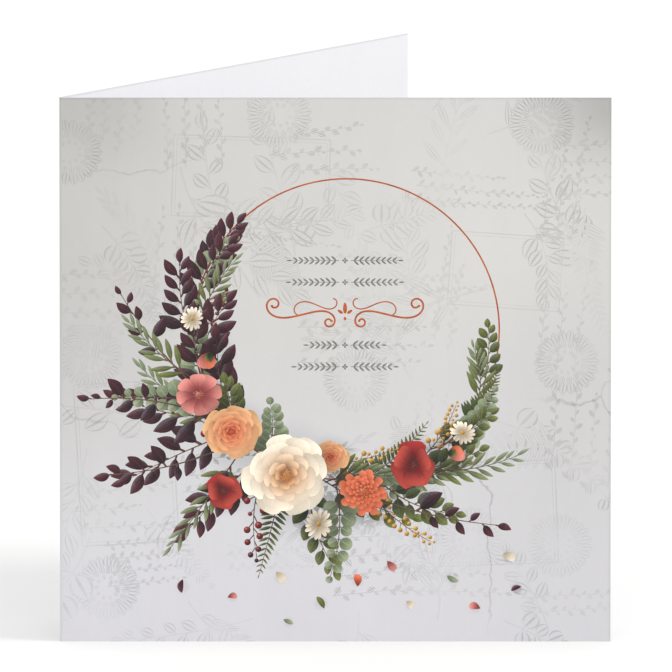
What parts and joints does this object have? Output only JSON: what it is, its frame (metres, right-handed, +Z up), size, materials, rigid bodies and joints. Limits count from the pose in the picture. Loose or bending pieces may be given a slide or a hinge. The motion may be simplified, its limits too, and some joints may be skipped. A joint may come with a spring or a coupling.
{
  "type": "greeting card",
  "caption": "Square single-fold greeting card of stiff board, printed on its front panel only, standing half open on its lower edges with the fold on the left.",
  "frame": {"origin": "centre of the standing card's footprint box, on the surface that it stands on", "axes": "+X along the front panel from the fold to its free edge, +Y from the front panel towards the back panel, +Z up along the fold"},
  "size_m": [0.148, 0.1152, 0.148],
  "materials": {
    "card_board": "smooth white uncoated board inside and on the back; the front panel carries a matt pale grey floral print"
  },
  "bodies": {
    "root": {"folded_card": "card_board"}
  },
  "joints": []
}
